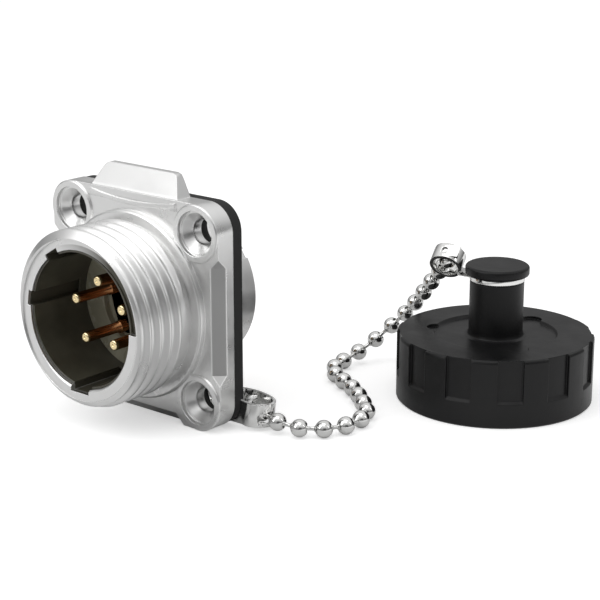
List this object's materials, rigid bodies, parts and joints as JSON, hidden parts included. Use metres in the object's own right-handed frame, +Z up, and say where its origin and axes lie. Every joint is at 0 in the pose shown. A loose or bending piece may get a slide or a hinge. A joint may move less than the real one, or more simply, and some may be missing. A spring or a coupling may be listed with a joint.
{
  "type": "circular connector receptacle with tethered dust cap",
  "caption": "Square-flange panel receptacle of a threaded circular connector, with a dust cap tethered on a bead chain.",
  "frame": {"origin": "on the mating axis, in the plane of the panel seat behind the gasket, at the centre of the screw pattern", "axes": "+Y runs back through the panel along the mating axis, so the mouth looks to -Y; +Z is up, square to the upper flange edge; +X points to the side where the cap lies"},
  "size_m": [0.0519, 0.0503, 0.0279],
  "materials": {
    "die_cast_nickel": "satin nickel plate on a zinc die casting",
    "gasket_rubber": "matt black rubber sheet",
    "liner_plastic": "dark moulded plastic",
    "insert_plastic": "dark olive thermoplastic, slightly glossy",
    "rear_insert_plastic": "dark moulded plastic",
    "seal_rubber": "silicone rubber",
    "nut_brass": "turned brass",
    "contact_gold": "gold plate on turned brass",
    "lug_steel": "bright nickel-plated strip",
    "bead_nickel": "bright nickel plate on drawn brass",
    "coupling_steel": "bright nickel-plated strip",
    "cap_nylon": "black moulded nylon",
    "cap_rubber": "black rubber washer"
  },
  "bodies": {
    "receptacle": {"shell": "die_cast_nickel", "panel_gasket": "gasket_rubber", "mouth_liner": "liner_plastic", "insert_front": "insert_plastic", "insert_rear": "rear_insert_plastic", "insert_seal": "seal_rubber", "rear_nut": "nut_brass", "contact_pin_1": "contact_gold", "contact_pin_2": "contact_gold", "contact_pin_3": "contact_gold", "contact_pin_4": "contact_gold", "contact_pin_5": "contact_gold", "chain_lug": "lug_steel"},
    "bead_01": {"bead_01": "bead_nickel"},
    "bead_02": {"bead_02": "bead_nickel"},
    "bead_03": {"bead_03": "bead_nickel"},
    "bead_04": {"bead_04": "bead_nickel"},
    "bead_05": {"bead_05": "bead_nickel"},
    "bead_06": {"bead_06": "bead_nickel"},
    "bead_07": {"bead_07": "bead_nickel"},
    "bead_08": {"bead_08": "bead_nickel"},
    "bead_09": {"bead_09": "bead_nickel"},
    "bead_10": {"bead_10": "bead_nickel"},
    "bead_11": {"bead_11": "bead_nickel"},
    "bead_12": {"bead_12": "bead_nickel"},
    "bead_13": {"bead_13": "bead_nickel"},
    "bead_14": {"bead_14": "bead_nickel"},
    "bead_15": {"bead_15": "bead_nickel"},
    "bead_16": {"bead_16": "bead_nickel"},
    "bead_17": {"bead_17": "bead_nickel"},
    "bead_18": {"bead_18": "bead_nickel"},
    "bead_19": {"bead_19": "bead_nickel"},
    "bead_20": {"bead_20": "bead_nickel"},
    "bead_21": {"bead_21": "bead_nickel"},
    "bead_22": {"bead_22": "bead_nickel"},
    "bead_23": {"bead_23": "bead_nickel"},
    "coupling": {"cap_coupling": "coupling_steel"},
    "cap": {"cap_body": "cap_nylon", "cap_head": "cap_nylon", "cap_seal": "cap_rubber"}
  },
  "joints": [
    {"name": "lug_swivel", "type": "hinge", "parent": "receptacle", "child": "bead_01", "pos_m": [0.0143, 0.00115, -0.01092], "axis": [0, 0, 1], "range_deg": [-15, 15]},
    {"name": "link_01_lift", "type": "hinge", "parent": "bead_01", "child": "bead_02", "pos_m": [0.01463, 0.0011, -0.01097], "axis": [-0.1478, -0.989, 0], "range_deg": [-12, 17]},
    {"name": "link_02_swing", "type": "hinge", "parent": "bead_02", "child": "bead_03", "pos_m": [0.01722, 0.00085, -0.01134], "axis": [-0.1082, -0.0282, -0.9937], "range_deg": [-20, 20]},
    {"name": "link_03_lift", "type": "hinge", "parent": "bead_03", "child": "bead_04", "pos_m": [0.0197, 0.00164, -0.01161], "axis": [-0.6347, 0.7727, 0], "range_deg": [-20, 20]},
    {"name": "link_04_swing", "type": "hinge", "parent": "bead_04", "child": "bead_05", "pos_m": [0.02164, 0.00341, -0.0117], "axis": [0, 0, 1], "range_deg": [-20, 20]},
    {"name": "link_05_lift", "type": "hinge", "parent": "bead_05", "child": "bead_06", "pos_m": [0.02264, 0.00583, -0.0117], "axis": [0.9999, -0.0122, 0], "range_deg": [-20, 20]},
    {"name": "link_06_swing", "type": "hinge", "parent": "bead_06", "child": "bead_07", "pos_m": [0.02253, 0.00845, -0.0117], "axis": [0, 0, -1], "range_deg": [-20, 20]},
    {"name": "link_07_lift", "type": "hinge", "parent": "bead_07", "child": "bead_08", "pos_m": [0.02133, 0.01079, -0.0117], "axis": [-0.6947, -0.7193, 0], "range_deg": [-20, 20]},
    {"name": "link_08_swing", "type": "hinge", "parent": "bead_08", "child": "bead_09", "pos_m": [0.01941, 0.01262, -0.0117], "axis": [0, 0, 1], "range_deg": [-20, 20]},
    {"name": "link_09_lift", "type": "hinge", "parent": "bead_09", "child": "bead_10", "pos_m": [0.01739, 0.01434, -0.0117], "axis": [0.5878, 0.809, 0], "range_deg": [-20, 20]},
    {"name": "link_10_swing", "type": "hinge", "parent": "bead_10", "child": "bead_11", "pos_m": [0.01523, 0.01586, -0.0117], "axis": [0, 0, -1], "range_deg": [-20, 20]},
    {"name": "link_11_lift", "type": "hinge", "parent": "bead_11", "child": "bead_12", "pos_m": [0.01291, 0.01715, -0.0117], "axis": [-0.5, -0.866, 0], "range_deg": [-20, 20]},
    {"name": "link_12_swing", "type": "hinge", "parent": "bead_12", "child": "bead_13", "pos_m": [0.01069, 0.01857, -0.0117], "axis": [0, 0, 1], "range_deg": [-17, 20]},
    {"name": "link_13_lift", "type": "hinge", "parent": "bead_13", "child": "bead_14", "pos_m": [0.00912, 0.02066, -0.0117], "axis": [0.9646, 0.2639, 0], "range_deg": [-20, 20]},
    {"name": "link_14_swing", "type": "hinge", "parent": "bead_14", "child": "bead_15", "pos_m": [0.00855, 0.02322, -0.01163], "axis": [0.0276, 0.2186, -0.9754], "range_deg": [-20, 12]},
    {"name": "link_15_lift", "type": "hinge", "parent": "bead_15", "child": "bead_16", "pos_m": [0.00897, 0.02572, -0.01095], "axis": [-0.8902, 0.4555, 0], "range_deg": [-20, 20]},
    {"name": "link_16_swing", "type": "hinge", "parent": "bead_16", "child": "bead_17", "pos_m": [0.01008, 0.02764, -0.00956], "axis": [-0.5497, -0.4023, 0.7321], "range_deg": [-12, 20]},
    {"name": "link_17_lift", "type": "hinge", "parent": "bead_17", "child": "bead_18", "pos_m": [0.01168, 0.02867, -0.00774], "axis": [0.1045, -0.9945, 0], "range_deg": [-20, 20]},
    {"name": "link_18_swing", "type": "hinge", "parent": "bead_18", "child": "bead_19", "pos_m": [0.01355, 0.02877, -0.00588], "axis": [0.6644, -0.1905, -0.7227], "range_deg": [-20, 20]},
    {"name": "link_19_lift", "type": "hinge", "parent": "bead_19", "child": "bead_20", "pos_m": [0.01538, 0.02821, -0.00405], "axis": [0.4067, 0.9135, 0], "range_deg": [-20, 20]},
    {"name": "link_20_swing", "type": "hinge", "parent": "bead_20", "child": "bead_21", "pos_m": [0.01714, 0.02741, -0.00224], "axis": [-0.6069, 0.3092, 0.7321], "range_deg": [-20, 20]},
    {"name": "link_21_lift", "type": "hinge", "parent": "bead_21", "child": "bead_22", "pos_m": [0.01887, 0.02653, -0.00044], "axis": [-0.454, -0.891, 0], "range_deg": [-4, 20]},
    {"name": "link_22_swing", "type": "hinge", "parent": "bead_22", "child": "bead_23", "pos_m": [0.02062, 0.02564, 0.00135], "axis": [0.598, -0.3047, -0.7413], "range_deg": [-12, 12]},
    {"name": "coupling_swing", "type": "hinge", "parent": "bead_23", "child": "coupling", "pos_m": [0.02214, 0.02486, 0.0029], "axis": [-0.2081, 0.7768, 0.5944], "range_deg": [-9, 3]},
    {"name": "cap_spin", "type": "hinge", "parent": "coupling", "child": "cap", "pos_m": [0.02794, 0.02642, 0.0016], "axis": [0, 0, 1], "continuous": true}
  ]
}
